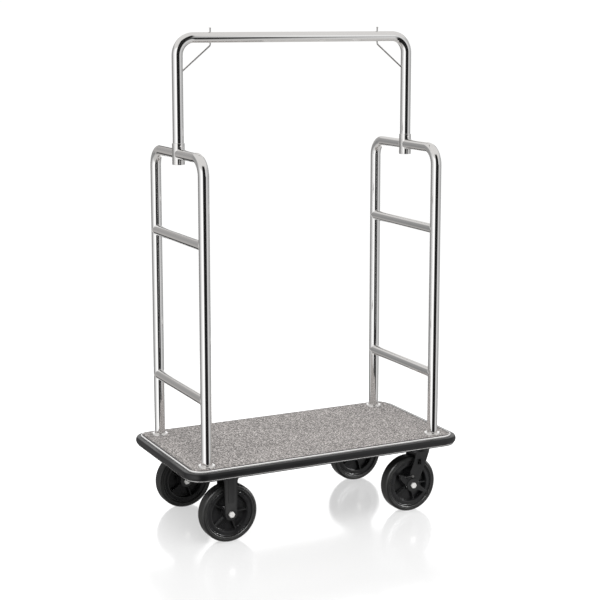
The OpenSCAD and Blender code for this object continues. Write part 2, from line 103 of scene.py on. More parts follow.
def ramp_node(tree, factor, stops):
    """A colour ramp over factor, with stops of (place, grey or colour)."""
    node = tree.nodes.new("ShaderNodeValToRGB")
    tree.links.new(factor, node.inputs["Fac"])
    ramp = node.color_ramp
    while len(ramp.elements) < len(stops):
        ramp.elements.new(0.5)
    for element, (place, colour) in zip(ramp.elements, stops):
        element.position = place
        rgb = colour if hasattr(colour, "__len__") else (colour,) * 3
        element.color = (*rgb, 1)
    return node.outputs["Color"]


def feed(tree, shader, socket, factor, stops):
    """Sets one of the shader's sockets by a colour ramp over factor."""
    tree.links.new(ramp_node(tree, factor, stops), shader.inputs[socket])


def mottle_group():
    """Fine surface unevenness as a node group: a clouded mask and a height for a Bump node.
    Cloud is a broad noise, Height a fine noise, both on the piece's own coordinates."""
    group = bpy.data.node_groups.new("surface_mottle", "ShaderNodeTree")
    for name, value in (("Cloud Scale", 12.0), ("Grain Scale", 400.0), ("Stretch", 1.0)):
        socket = group.interface.new_socket(name, in_out="INPUT", socket_type="NodeSocketFloat")
        socket.default_value = value
    group.interface.new_socket("Cloud", in_out="OUTPUT", socket_type="NodeSocketFloat")
    group.interface.new_socket("Height", in_out="OUTPUT", socket_type="NodeSocketFloat")
    inside = group.nodes.new("NodeGroupInput")
    out = group.nodes.new("NodeGroupOutput")
    place = add_node(group, "ShaderNodeTexCoord").outputs["Object"]
    stretch = add_node(group, "ShaderNodeCombineXYZ", {"X": 1.0, "Y": 1.0, "Z": inside.outputs["Stretch"]})
    scaled = add_node(group, "ShaderNodeVectorMath", {0: place, 1: stretch.outputs[0]},
                      operation="MULTIPLY")
    cloud = add_node(group, "ShaderNodeTexNoise", {"Vector": place, "Scale": inside.outputs["Cloud Scale"],
                                                   "Detail": 3.0, "Roughness": 0.55})
    grain = add_node(group, "ShaderNodeTexNoise", {"Vector": scaled.outputs[0],
                                                   "Scale": inside.outputs["Grain Scale"], "Detail": 4.0})
    group.links.new(cloud.outputs["Fac"], out.inputs["Cloud"])
    group.links.new(grain.outputs["Fac"], out.inputs["Height"])
    return group


MOTTLE = mottle_group()


def mottled(tree, cloud, grain, stretch=1.0):
    """Places the mottle group with its scales and gives its two outputs, Cloud and Height."""
    node = tree.nodes.new("ShaderNodeGroup")
    node.node_tree = MOTTLE
    node.inputs["Cloud Scale"].default_value = cloud
    node.inputs["Grain Scale"].default_value = grain
    node.inputs["Stretch"].default_value = stretch
    return node.outputs["Cloud"], node.outputs["Height"]


def bump_from(tree, shader, height, strength, depth):
    """Feeds the shader's normal from a height, with the depth in metres."""
    bump = add_node(tree, "ShaderNodeBump", {"Height": height, "Strength": strength, "Distance": depth})
    tree.links.new(bump.outputs["Normal"], shader.inputs["Normal"])


def coat_nodes(material, *nodes):
    """Puts a material on CAD nodes that keep their own shape."""
    for node in nodes:
        piece = frame["nodes"][node]
        piece.data.materials.clear()
        piece.data.materials.append(material)


def plywood():
    """Plywood darkened nearly to black as painted shade, for the shadowed groove at the carpet's rim:
    stretched grain along X, with the plies as bands over its thickness.
    """
    material, tree, shader = new_material("plywood")
    place = add_node(tree, "ShaderNodeTexCoord").outputs["Object"]
    turned = add_node(tree, "ShaderNodeMapping", {"Vector": place, "Scale": (1.2, 22.0, 22.0)})
    grain = add_node(tree, "ShaderNodeTexNoise", {"Vector": turned.outputs[0], "Scale": 6.0, "Detail": 8.0,
                                                  "Roughness": 0.62, "Distortion": 0.4})
    height = add_node(tree, "ShaderNodeSeparateXYZ", {"Vector": place}).outputs["Z"]
    ply = 3.6 * MM
    band = calc(tree, "SINE", calc(tree, "MULTIPLY", height, 2 * math.pi / ply))
    both = calc(tree, "MULTIPLY_ADD", band, 0.12, grain.outputs["Fac"])
    # Painted shade: these browns are kept near black (0.02 to 0.05) so the board seen in the gap at the
    # carpet's rim reads as a shadowed groove.
    feed(tree, shader, "Base Color", both,
         [(0.28, (0.020, 0.014, 0.010)), (0.5, (0.034, 0.025, 0.018)), (0.72, (0.052, 0.040, 0.030))])
    feed(tree, shader, "Roughness", grain.outputs["Fac"], [(0.3, 0.75), (0.7, 0.55)])
    bump_from(tree, shader, grain.outputs["Fac"], 0.4, 0.3 * MM)
    return material


def sprayed_steel(name, tone, gloss=0.42):
    """Black sprayed steel: an orange-peel bump and a faint dusting of lighter tone."""
    material, tree, shader = new_material(name)
    cloud, height = mottled(tree, 9.0, 650.0)
    low, high = [c * 0.7 for c in tone], [c * 1.35 for c in tone]
    feed(tree, shader, "Base Color", cloud, [(0.35, low), (0.68, high)])
    feed(tree, shader, "Roughness", cloud, [(0.3, gloss - 0.06), (0.7, gloss + 0.1)])
    shader.inputs["Specular IOR Level"].default_value = 0.5
    bump_from(tree, shader, height, 0.25, 0.15 * MM)
    return material


coat_nodes(plywood(), "deck_board")
UNDERFRAME_PAINT = sprayed_steel("underframe_paint", (0.030, 0.030, 0.032))
coat_nodes(UNDERFRAME_PAINT, "cross_channels", "stiffeners")


# ---- Edge channel, bumper and bright strip ----
# A drawn aluminium channel runs round the board, and only its bead shows above the carpet. An
# extruded rubber bumper with a round front is pressed into it, with a bright strip in its foot.

def grid_faces(rows, columns, wrap_rows, wrap_columns):
    """Corner numbers of the quads of a grid of points, wrapped round in either direction."""
    i = np.arange(rows if wrap_rows else rows - 1)
    j = np.arange(columns if wrap_columns else columns - 1)
    i, j = [a.ravel() for a in np.meshgrid(i, j, indexing="ij")]
    ni, nj = (i + 1) % rows, (j + 1) % columns
    return np.stack([i * columns + j, ni * columns + j, ni * columns + nj, i * columns + nj], 1)


def skin(points, wrap_rows=False, wrap_columns=True, caps=True):
    """Points and faces of a surface given as a grid of points. Columns wrap round the section.
    An open run of rows is closed by a fan to the middle of its first and last row."""
    rows, columns = points.shape[:2]
    verts = points.reshape(-1, 3)
    faces = grid_faces(rows, columns, wrap_rows, wrap_columns).tolist()
    if caps and not wrap_rows:
        ends = np.stack([points[0].mean(0), points[-1].mean(0)])
        first = len(verts)
        verts = np.concatenate([verts, ends])
        j = np.arange(columns)
        nj = (j + 1) % columns
        last = (rows - 1) * columns
        faces += np.stack([nj, j, np.full(columns, first)], 1)[::-1].tolist()
        faces += np.stack([last + j, last + nj, np.full(columns, first + 1)], 1).tolist()
    return verts, faces


def joined(*skins):
    """Several closed skins as one list of points and one list of faces."""
    verts, faces, count = [], [], 0
    for v, f in skins:
        verts.append(v)
        faces += [[k + count for k in face] for face in f]
        count += len(v)
    return np.concatenate(verts), faces


def volume_of(verts, faces):
    """Signed volume: the sum over fans of triangles of a . (b x c) / 6."""
    total = 0.0
    for size in {len(f) for f in faces}:
        f = np.array([face for face in faces if len(face) == size])
        for k in range(1, size - 1):
            a, b, c = verts[f[:, 0]], verts[f[:, k]], verts[f[:, k + 1]]
            total += np.einsum("ij,ij->", a, np.cross(b, c)) / 6
    return total


def new_piece(name, skins, material, body, replaced=(), crease=38.0):
    """One object made of closed skins, facing outwards, on its body and in place of its CAD nodes."""
    parts = []
    for verts, faces in skins:
        if volume_of(verts - verts.mean(0), faces) < 0:
            faces = [list(face)[::-1] for face in faces]
        parts.append((verts, faces))
    verts, faces = joined(*parts)
    mesh = bpy.data.meshes.new(name)
    mesh.from_pydata(verts.tolist(), [], faces)
    mesh.validate()
    mesh.polygons.foreach_set("use_smooth", np.ones(len(mesh.polygons), bool))
    mesh.set_sharp_from_angle(angle=math.radians(crease))
    mesh.materials.append(material)
    piece = bpy.data.objects.new(name, mesh)
    bpy.context.scene.collection.objects.link(piece)
    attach(piece, body)
    if replaced:
        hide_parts(*replaced)
    return piece


EDGE_LOW, EDGE_HIGH = corner_of("edge_channel")
EDGE_RADIUS = 50 * MM


def deck_edge(per_corner=20):
    """The deck's outline as points and outward directions: straight sides with quarter circles.
    Every corner is a fan of directions about its centre, and the sides join the fans."""
    half = EDGE_HIGH[:2]
    turn = np.linspace(0, math.pi / 2, per_corner)
    angle = np.concatenate([turn + k * math.pi / 2 for k in range(4)])
    out = np.stack([np.cos(angle), np.sin(angle)], 1)
    sign = np.repeat(np.array([[1, 1], [-1, 1], [-1, -1], [1, -1]]), per_corner, 0)
    return sign * (half - EDGE_RADIUS) + out * EDGE_RADIUS, out


def round_the_deck(profile):
    """Carries a closed profile of (outward, height) in metres round the deck's outline."""
    place, out = deck_edge()
    profile = np.array(profile)
    ring = place[:, None, :] + out[:, None, :] * profile[None, :, :1]
    height = np.broadcast_to(profile[None, :, 1:], (len(place), len(profile), 1))
    return skin(np.concatenate([ring, height], 2), wrap_rows=True)


def arc(centre, radius, start, end, count):
    """Points on a circle in the profile's plane from one angle to another, in degrees."""
    a = np.radians(np.linspace(start, end, count))
    return np.stack([centre[0] + radius * np.cos(a), centre[1] + radius * np.sin(a)], 1)


def bright_edge():
    """Satin drawn aluminium, with faint draw lines along it and a few duller patches."""
    material, tree, shader = new_material("bright_edge")
    cloud, height = mottled(tree, 6.0, 900.0, 12.0)
    feed(tree, shader, "Base Color", cloud, [(0.3, (0.88, 0.87, 0.865)), (0.7, (0.96, 0.955, 0.95))])
    feed(tree, shader, "Roughness", cloud, [(0.3, 0.42), (0.7, 0.32)])
    shader.inputs["Metallic"].default_value = 0.5
    bump_from(tree, shader, height, 0.2, 0.05 * MM)
    return material


BEAD = 4 * MM
LEDGE = 14 * MM
BEAD_TOP = EDGE_HIGH[2]
WEB_FOOT = EDGE_LOW[2]
LEDGE_TOP = corner_of("deck_board")[0][2]
BRIGHT_EDGE = bright_edge()
edge_profile = np.concatenate([
    [[-BEAD, WEB_FOOT], [-2 * MM, WEB_FOOT], [-2 * MM, BEAD_TOP - 5 * MM], [-0.4 * MM, BEAD_TOP - 5 * MM]],
    arc((-1.5 * MM, BEAD_TOP - 2 * MM), 1.5 * MM, -10, 80, 6),
    arc((-2.8 * MM, BEAD_TOP - 1.2 * MM), 1.2 * MM, 95, 180, 5),
    [[-BEAD, LEDGE_TOP], [-LEDGE, LEDGE_TOP], [-LEDGE, LEDGE_TOP - 2 * MM], [-BEAD, LEDGE_TOP - 2 * MM]]])
new_piece("edge_bead", [round_the_deck(edge_profile)], BRIGHT_EDGE, "chassis",
          ["edge_channel"])


def bumper_skin():
    """Black extruded rubber: satin, with a slight wave along it and fine dust in the low spots."""
    material, tree, shader = new_material("bumper_skin")
    cloud, height = mottled(tree, 7.0, 260.0)
    feed(tree, shader, "Base Color", cloud,
         [(0.3, (0.0035, 0.0035, 0.004)), (0.7, (0.008, 0.008, 0.0085))])
    feed(tree, shader, "Roughness", cloud, [(0.3, 0.26), (0.72, 0.38)])
    bump_from(tree, shader, height, 0.18, 0.2 * MM)
    return material


BUMPER_LOW, BUMPER_HIGH = corner_of("bumper")
NOSE = BUMPER_HIGH[0] - EDGE_HIGH[0]
TRIM_LOW, TRIM_HIGH = corner_of("bumper_trim")
TRIM_OUT = TRIM_HIGH[0] - EDGE_HIGH[0]
nose_mid = (TRIM_HIGH[2] + BUMPER_HIGH[2]) / 2
nose_half = (BUMPER_HIGH[2] - TRIM_HIGH[2]) / 2
nose_angle = math.degrees(math.asin(nose_half / NOSE)) - 4
bumper_profile = np.concatenate([
    [[-2 * MM, BUMPER_LOW[2]]], arc((TRIM_OUT - 2.2 * MM, BUMPER_LOW[2] + 1.2 * MM), 1.2 * MM, -90, 40, 5),
    [[TRIM_OUT - 1.4 * MM, TRIM_LOW[2]], [0, TRIM_LOW[2]], [0, TRIM_HIGH[2]],
     [TRIM_OUT - 2 * MM, TRIM_HIGH[2]]],
    arc((0, nose_mid), NOSE, -nose_angle, nose_angle, 25),
    [[TRIM_OUT - 2 * MM, BUMPER_HIGH[2]], [-2 * MM, BUMPER_HIGH[2]]]])
new_piece("bumper_rubber", [round_the_deck(bumper_profile)], bumper_skin(), "chassis",
          ["bumper"])
trim_profile = np.concatenate([[[0, TRIM_LOW[2]]],
                               arc((TRIM_OUT - 1.2 * MM, TRIM_LOW[2] + 1.5 * MM), 1.2 * MM, -70, 70, 6),
                               [[0, TRIM_HIGH[2]]]])
new_piece("bumper_strip", [round_the_deck(trim_profile)], BRIGHT_EDGE, "chassis",
          ["bumper_trim"])


# ---- Carpet ----
# Loop-pile carpet in a heathered warm grey, glued to the board and cut out round the four post
# flanges. The pile stands 4 mm high and is a little uneven where it has been walked on.

def heathered_pile():
    """Flecked yarn: fine cells of light, middle and dark grey, tufts as bumps, worn patches, and
    painted shade darkening the rim for the groove's shadow, over the distance to the nearest edge."""
    material, tree, shader = new_material("heathered_pile")
    place = add_node(tree, "ShaderNodeTexCoord").outputs["Object"]
    flat = add_node(tree, "ShaderNodeVectorMath", {0: place, 1: (1.0, 1.0, 0.0)},
                    operation="MULTIPLY").outputs[0]
    fleck = add_node(tree, "ShaderNodeTexNoise", {"Vector": flat, "Scale": 170.0, "Detail": 3.0,
                                                  "Roughness": 0.8})
    tuft = add_node(tree, "ShaderNodeTexVoronoi", {"Vector": flat, "Scale": 300.0, "Randomness": 0.9})
    shade = add_node(tree, "ShaderNodeSeparateColor", {"Color": tuft.outputs["Color"]})
    mixed = add_node(tree, "ShaderNodeMix", {0: 0.45, 2: fleck.outputs["Fac"], 3: shade.outputs[0]})
    yarn = ramp_node(tree, mixed.outputs[0], [(0.30, (0.036, 0.032, 0.030)), (0.43, (0.118, 0.106, 0.100)),
                                              (0.57, (0.262, 0.240, 0.228)), (0.70, (0.560, 0.525, 0.505))])
    worn = add_node(tree, "ShaderNodeTexNoise", {"Vector": flat, "Scale": 5.0, "Detail": 3.0})
    wear_and_rim_shade = ramp_node(tree, worn.outputs["Fac"], [(0.3, 0.88), (0.7, 1.0)])
    axes = add_node(tree, "ShaderNodeSeparateXYZ", {0: place})
    inset = []
    for axis, reach in (("X", CARPET_HIGH[0]), ("Y", CARPET_HIGH[1])):
        inset.append(calc(tree, "SUBTRACT", float(reach), calc(tree, "ABSOLUTE", axes.outputs[axis])))
    nearest = calc(tree, "MINIMUM", *inset)
    # Painted shade: within 4 to 11 mm of the rim the pile's colour is darkened down to 0.22, standing in
    # for the shadow in the groove along the bead.
    painted_rim_shade = add_node(tree, "ShaderNodeMapRange", {"Value": nearest, "From Min": 4 * MM, "From Max": 11 * MM,
                                                "To Min": 0.22, "To Max": 1.0}).outputs[0]
    # Real worn patches multiplied by the painted rim shade.
    wear_and_rim_shade = add_node(tree, "ShaderNodeMix", {0: 1.0, 6: wear_and_rim_shade, 7: painted_rim_shade}, data_type="RGBA",
                    blend_type="MULTIPLY").outputs[2]
    coloured = add_node(tree, "ShaderNodeMix", {0: 1.0, 6: yarn, 7: wear_and_rim_shade}, data_type="RGBA",
                        blend_type="MULTIPLY")
    tree.links.new(coloured.outputs[2], shader.inputs["Base Color"])
    shader.inputs["Roughness"].default_value = 0.95
    shader.inputs["Specular IOR Level"].default_value = 0.15
    shader.inputs["Sheen Weight"].default_value = 0.25
    shader.inputs["Sheen Roughness"].default_value = 0.5
    depth = calc(tree, "SUBTRACT", fleck.outputs["Fac"], tuft.outputs["Distance"])
    bump_from(tree, shader, depth, 0.7, 1.2 * MM)
    return material


CARPET_LOW, CARPET_HIGH = corner_of("carpet")
PILE = CARPET_HIGH[2] - CARPET_LOW[2]
HOOP_LOW, HOOP_HIGH = corner_of("hoop_right_front")
HOOP_X = (HOOP_LOW[0] + HOOP_HIGH[0]) / 2
TUBE = (HOOP_HIGH[0] - HOOP_LOW[0]) / 2
POST_Y = -HOOP_LOW[1] - TUBE
POSTS = [(sx * HOOP_X, sy * POST_Y) for sx in (-1, 1) for sy in (-1, 1)]
FLANGE_LOW, FLANGE_HIGH = corner_of("foot_flanges")
FLANGE = FLANGE_HIGH[0] - HOOP_X


def rounded_sheet(half, radius, rows, columns):
    """A grid over a rectangle with round corners. In the corners' bands each row is shortened to
    the circle: the half length less the radius, plus the root of radius^2 - distance^2."""
    y = np.linspace(-1, 1, rows)
    y = half[1] * np.sign(y) * np.abs(y) ** 0.92
    over = np.maximum(np.abs(y) - (half[1] - radius), 0)
    reach = half[0] - radius + np.sqrt(np.maximum(radius ** 2 - over ** 2, 0))
    x = np.linspace(-1, 1, columns)[None, :] * reach[:, None]
    return np.stack([x, np.broadcast_to(y[:, None], x.shape)], 2)


def carpet_piece(material):
    """The pile's top as a grid with small uneven lumps, rolled down at its rim, without the cells
    under the flanges. Solidify gives it its thickness downwards."""
    rows, columns = 132, 250
    half = CARPET_HIGH[:2]
    flat = rounded_sheet(half, EDGE_RADIUS - BEAD, rows, columns)
    random = np.random.default_rng(7)
    lumps = random.normal(0, 0.16 * MM, (rows, columns))
    rim = np.minimum(half[0] - np.abs(flat[..., 0]), half[1] - np.abs(flat[..., 1])) / (3 * MM)
    height = CARPET_HIGH[2] - 0.45 * MM + np.clip(lumps, -0.4 * MM, 0.4 * MM) - 1.2 * MM * np.exp(-rim)
    points = np.concatenate([flat, height[..., None]], 2).reshape(-1, 3)
    faces = grid_faces(rows, columns, False, False)
    middle = points[faces].mean(1)
    hidden = np.zeros(len(faces), bool)
    for x, y in POSTS:
        hidden |= np.hypot(middle[:, 0] - x, middle[:, 1] - y) < FLANGE - 4.5 * MM
    faces = faces[~hidden]
    used, faces = np.unique(faces, return_inverse=True)
    mesh = bpy.data.meshes.new("carpet_pile")
    mesh.from_pydata(points[used].tolist(), [], faces.reshape(-1, 4).tolist())
    mesh.polygons.foreach_set("use_smooth", np.ones(len(mesh.polygons), bool))
    mesh.materials.append(material)
    piece = bpy.data.objects.new("carpet_pile", mesh)
    bpy.context.scene.collection.objects.link(piece)
    backing = piece.modifiers.new("backing", "SOLIDIFY")
    backing.thickness = PILE - 1.8 * MM
    backing.offset = -1
    return piece


carpet = carpet_piece(heathered_pile())
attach(carpet, "chassis")
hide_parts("carpet")


# ---- Hoops, rungs and foot flanges ----
# Polished chromed steel tube, 38 mm across. Each hoop is two posts bent over at the top to a
# socket in the middle, with two rungs coped and welded between them, standing in round flanges.

def polished_chrome(name, tone=(0.93, 0.925, 0.92), dull=0.06):
    """Polished chrome: a mirror with faint polishing lines, breathed-on patches and fine wear."""
    material, tree, shader = new_material(name)
    cloud, height = mottled(tree, 5.0, 260.0, 0.08)
    feed(tree, shader, "Base Color", cloud, [(0.3, [c * 0.97 for c in tone]), (0.7, tone)])
    feed(tree, shader, "Roughness", cloud, [(0.3, dull - 0.02), (0.75, dull + 0.03)])
    shader.inputs["Metallic"].default_value = 1.0
    bump_from(tree, shader, height, 0.012, 0.01 * MM)
    return material


CHROME = polished_chrome("polished_chrome")


def tube_on(path, flat, radius, sides=56):
    """A round section carried square to a flat path. flat is the normal of the path's plane, and
    the section is radius * (cos a * side + sin a * flat), with side = flat x along."""
    path, flat = np.asarray(path, float), np.asarray(flat, float)
    along = np.gradient(path, axis=0)
    along /= np.linalg.norm(along, axis=1)[:, None]
    side = np.cross(flat, along)
    a = np.linspace(0, 2 * math.pi, sides, endpoint=False)[None, :, None]
    radius = np.broadcast_to(radius, (len(path),))[:, None, None]
    return path[:, None] + radius * (np.cos(a) * side[:, None] + np.sin(a) * flat[None, None])


def turned_corner(before, corner, after, radius, count=26):
    """Points on the arc of that radius that rounds a corner between two straight runs."""
    before, corner, after = [np.asarray(p, float) for p in (before, corner, after)]
    a = (before - corner) / np.linalg.norm(before - corner)
    b = (after - corner) / np.linalg.norm(after - corner)
    half = math.acos(np.clip(a @ b, -1, 1)) / 2
    middle = (a + b) / np.linalg.norm(a + b)
    centre = corner + middle * radius / math.sin(half)
    start = corner + a * radius / math.tan(half)
    sweep = math.pi - 2 * half
    t = np.linspace(0, sweep, count)[:, None]
    first = start - centre
    return centre + first * np.cos(t) - a * radius * np.sin(t)


BAR_Z = HOOP_HIGH[2] - TUBE
BEND = 60 * MM
SOCKET_LOW, SOCKET_HIGH = corner_of("socket_right")
SOCKET_R = (SOCKET_HIGH[0] - SOCKET_LOW[0]) / 2


def straight(start, end, count):
    """Evenly spaced points from start to end, both counted."""
    return np.linspace(np.asarray(start, float), np.asarray(end, float), count)


for end, x in (("left", -HOOP_X), ("right", HOOP_X)):
    for side, sign in (("front", -1), ("rear", 1)):
        foot, corner = (x, sign * POST_Y, HOOP_LOW[2]), (x, sign * POST_Y, BAR_Z)
        inner = (x, sign * 0.6 * SOCKET_R, BAR_Z)
        bend = turned_corner(foot, corner, inner, BEND)
        path = np.concatenate([straight(foot, bend[0], 14)[:-1], bend, straight(bend[-1], inner, 8)[1:]])
        new_piece(f"hoop_tube_{end}_{side}", [skin(tube_on(path, (1, 0, 0), TUBE))], CHROME, "chassis",
                  [f"hoop_{end}_{side}"])


def coped_rung(x, z, sides=64):
    """A tube between two posts. Its ends follow the posts: y = span / 2 - sqrt(R^2 - x^2) for the
    section point (x, z), and each end is closed over the post's own surface."""
    a = np.linspace(0, 2 * math.pi, sides, endpoint=False)
    share = np.concatenate([[0.3, 0.6, 0.88], np.ones(14), [0.88, 0.6, 0.3]])[:, None]
    along = np.concatenate([-np.ones(3), np.linspace(-1, 1, 14), np.ones(3)])[:, None]
    across = share * TUBE * np.cos(a)
    end = POST_Y - np.sqrt(np.maximum(TUBE ** 2 - across ** 2, 0))
    return skin(np.stack([x + across, along * end, z + share * TUBE * np.sin(a)], 2))


def weld_bead(x, sign, z, size=1.3 * MM, sides=64, section=8):
    """A thin rounded bead that follows the line where a rung meets a post."""
    a = np.linspace(0, 2 * math.pi, sides, endpoint=False)
    line = np.stack([TUBE * np.cos(a), POST_Y - np.sqrt(np.maximum(TUBE ** 2 - (TUBE * np.cos(a)) ** 2, 0)),
                     TUBE * np.sin(a)], 1)
    outward = np.stack([np.cos(a), np.zeros(sides), np.sin(a)], 1)
    b = np.linspace(0, 2 * math.pi, section, endpoint=False)[None, :, None]
    ring = line[:, None] + size * (np.cos(b) * outward[:, None] - np.sin(b) * np.array([0, 1.0, 0]))
    ring[..., 1] *= sign
    return skin(ring + np.array([x, 0, z]), wrap_rows=True)


for end, x in (("left", -HOOP_X), ("right", HOOP_X)):
    for level in ("low", "high"):
        low, high = corner_of(f"rung_{end}_{level}")
        z = (low[2] + high[2]) / 2
        new_piece(f"rung_tube_{end}_{level}", [coped_rung(x, z), weld_bead(x, -1, z), weld_bead(x, 1, z)],
                  CHROME, "chassis", [f"rung_{end}_{level}"])


def turned(profile, centre, axis="z", sides=72):
    """A closed profile of (radius, distance along the axis) turned about an axis through centre."""
    profile = np.asarray(profile, float)
    a = np.linspace(0, 2 * math.pi, sides, endpoint=False)[:, None]
    r, h = profile[None, :, 0], np.broadcast_to(profile[None, :, 1], (sides, len(profile)))
    points = {"z": (r * np.cos(a), r * np.sin(a), h), "y": (r * np.cos(a), h, r * np.sin(a))}[axis]
    return skin(np.stack(points, 2) + np.asarray(centre), wrap_rows=True)


flange_h = FLANGE_HIGH[2] - FLANGE_LOW[2]
flange_profile = np.concatenate([
    [[TUBE + 0.1 * MM, 0], [FLANGE - 0.4 * MM, 0], [FLANGE, 0.6 * MM], [FLANGE, flange_h * 0.40]],
    arc((FLANGE - 5.5 * MM, flange_h * 0.42), 5.5 * MM, 6, 84, 9),
    [[TUBE + 1.6 * MM, flange_h - 0.1 * MM], [TUBE + 0.5 * MM, flange_h - 0.8 * MM],
     [TUBE + 0.1 * MM, flange_h - 2 * MM]]])
FITTING_CHROME = polished_chrome("fitting_chrome", (0.84, 0.83, 0.82), 0.13)
new_piece("flange_rings", [turned(flange_profile, (x, y, FLANGE_LOW[2])) for x, y in POSTS], FITTING_CHROME,
          "chassis", ["foot_flanges"])


# ---- Sockets and garment rail ----
# Each hoop carries an upright socket that its halves are welded to. The garment rail is one bent
# tube whose legs drop into the sockets and are held by a small screw in each.

def socket_skin(x):
    """The socket's wall as a turned profile: outside, rounded top rim, bore with a seat for the
    rail's leg, and rounded foot."""
    half = (SOCKET_HIGH[2] - SOCKET_LOW[2]) / 2
    bore = TUBE + 0.1 * MM
    seat_z, seat = -25 * MM, bore - 2.1 * MM
    profile = np.concatenate([
        arc((SOCKET_R - 1 * MM, -half + 1 * MM), 1 * MM, -90, 0, 5),
        arc((SOCKET_R - 1 * MM, half - 1 * MM), 1 * MM, 0, 90, 5),
        [[bore + 0.4 * MM, half], [bore, half - 0.4 * MM], [bore, seat_z], [seat, seat_z], [seat, -half]]])
    return turned(profile, (x, 0, (SOCKET_LOW[2] + SOCKET_HIGH[2]) / 2))


for end, x in (("left", -HOOP_X), ("right", HOOP_X)):
    new_piece(f"socket_sleeve_{end}", [socket_skin(x)], FITTING_CHROME, "chassis",
              [f"socket_{end}"])

RAIL_LOW, RAIL_HIGH = corner_of("garment_rail")
RAIL_Z = RAIL_HIGH[2] - TUBE
ends = [(-HOOP_X, 0, RAIL_LOW[2]), (-HOOP_X, 0, RAIL_Z), (HOOP_X, 0, RAIL_Z), (HOOP_X, 0, RAIL_LOW[2])]
left_bend = turned_corner(ends[0], ends[1], ends[2], BEND)
right_bend = turned_corner(ends[1], ends[2], ends[3], BEND)
rail_path = np.concatenate([straight(ends[0], left_bend[0], 10)[:-1], left_bend,
                            straight(left_bend[-1], right_bend[0], 24)[1:-1], right_bend,
                            straight(right_bend[-1], ends[3], 10)[1:]])
new_piece("rail_tube", [skin(tube_on(rail_path, (0, 1, 0), TUBE))], CHROME, "chassis",
          ["garment_rail"])


# ---- Garment hook rods ----
# A 6 mm chromed rod stands up through the bar near each end with a small head on top. Under the
# bar it bends outwards and runs down to the leg, where it is welded.

ROD = 3 * MM
ROD_INSET = 122 * MM
ROD_DROP = 112 * MM
ROD_BEND = 12 * MM
for end, sign in (("left", -1), ("right", 1)):
    low, high = corner_of(f"garment_hook_{end}")
    top = high[2]
    stem_x = HOOP_X - ROD_INSET
    corner = (sign * stem_x, 0, RAIL_Z - TUBE - 8 * MM)
    weld = (sign * (HOOP_X - TUBE + 1.5 * MM), 0, RAIL_Z - ROD_DROP - 1.2 * MM)
    bend = turned_corner((sign * stem_x, 0, top), corner, weld, ROD_BEND, 14)
    head = np.array([0.0, 0.25, 0.8, 1.4, 2.2, 2.5, 2.9, 3.3]) * MM
    width = np.array([2.9, 3.6, 4.15, 4.25, 4.15, 3.7, 3.15, 3.0]) * MM
    stem = np.stack([np.full(8, sign * stem_x), np.zeros(8), top - head], 1)
    path = np.concatenate([stem, straight(stem[-1], bend[0], 12)[1:-1], bend,
                           straight(bend[-1], weld, 10)[1:]])
    radius = np.concatenate([width, np.full(len(path) - 8, ROD)])
    new_piece(f"hook_rod_{end}", [skin(tube_on(path, (0, 1, 0), radius, 24))], FITTING_CHROME, "chassis",
              [f"garment_hook_{end}"], crease=50)


# ---- Caster plates, forks and fasteners ----
# Pressed steel casters, painted dark grey: two with fixed forks at the left end and two that
# swivel on kingpins at the right. They are bolted up with bright zinc-plated bolts and nuts.

def fork_paint():
    """Dark grey powder paint: a fine orange peel, a soft shine and slightly rubbed high spots."""
    material, tree, shader = new_material("fork_paint")
    cloud, height = mottled(tree, 16.0, 700.0)
    tone = ramp_node(tree, cloud, [(0.3, (0.007, 0.007, 0.0075)), (0.7, (0.014, 0.014, 0.0145))])
    edge = add_node(tree, "ShaderNodeNewGeometry").outputs["Pointiness"]
    rub = ramp_node(tree, edge, [(0.52, 0.0), (0.60, 1.0)])
    worn = add_node(tree, "ShaderNodeMix", {0: rub, 6: tone, 7: (0.03, 0.03, 0.03, 1)}, data_type="RGBA")
    tree.links.new(worn.outputs[2], shader.inputs["Base Color"])
    feed(tree, shader, "Roughness", cloud, [(0.3, 0.34), (0.7, 0.46)])
    bump_from(tree, shader, height, 0.3, 0.12 * MM)
    return material


def zinc_plate(name, bright=1.0, metallic=0.4):
    """Zinc plating: a clouded grey metal with fine drawing lines and duller patches."""
    material, tree, shader = new_material(name)
    cloud, height = mottled(tree, 60.0, 900.0)
    low, high = [bright * c for c in (0.80, 0.79, 0.77)], [bright * c for c in (0.93, 0.92, 0.90)]
    feed(tree, shader, "Base Color", cloud, [(0.3, low), (0.7, high)])
    feed(tree, shader, "Roughness", cloud, [(0.3, 0.44), (0.7, 0.32)])
    shader.inputs["Metallic"].default_value = metallic
    bump_from(tree, shader, height, 0.15, 0.05 * MM)
    return material


def softened(node, name, material, body, width=0.5 * MM, segments=2, crease=32.0):
    """A copy of a CAD node with its corners joined, flat faces cleaned and its edges rounded."""
    source = frame["nodes"][node]
    shape = bmesh.new()
    shape.from_mesh(source.data)
    bmesh.ops.remove_doubles(shape, verts=shape.verts, dist=2e-6)
    bmesh.ops.dissolve_limit(shape, angle_limit=math.radians(0.6), verts=shape.verts, edges=shape.edges)
    mesh = bpy.data.meshes.new(name)
    shape.to_mesh(mesh)
    shape.free()
    mesh.polygons.foreach_set("use_smooth", np.ones(len(mesh.polygons), bool))
    mesh.set_sharp_from_angle(angle=math.radians(crease))
    mesh.materials.clear()
    mesh.materials.append(material)
    piece = bpy.data.objects.new(name, mesh)
    bpy.context.scene.collection.objects.link(piece)
    if width:
        edges = piece.modifiers.new("rounded_edges", "BEVEL")
        edges.width = width
        edges.segments = segments
        edges.limit_method = "ANGLE"
        edges.angle_limit = math.radians(crease)
        edges.harden_normals = True
    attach(piece, body)
    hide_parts(node)
    return piece


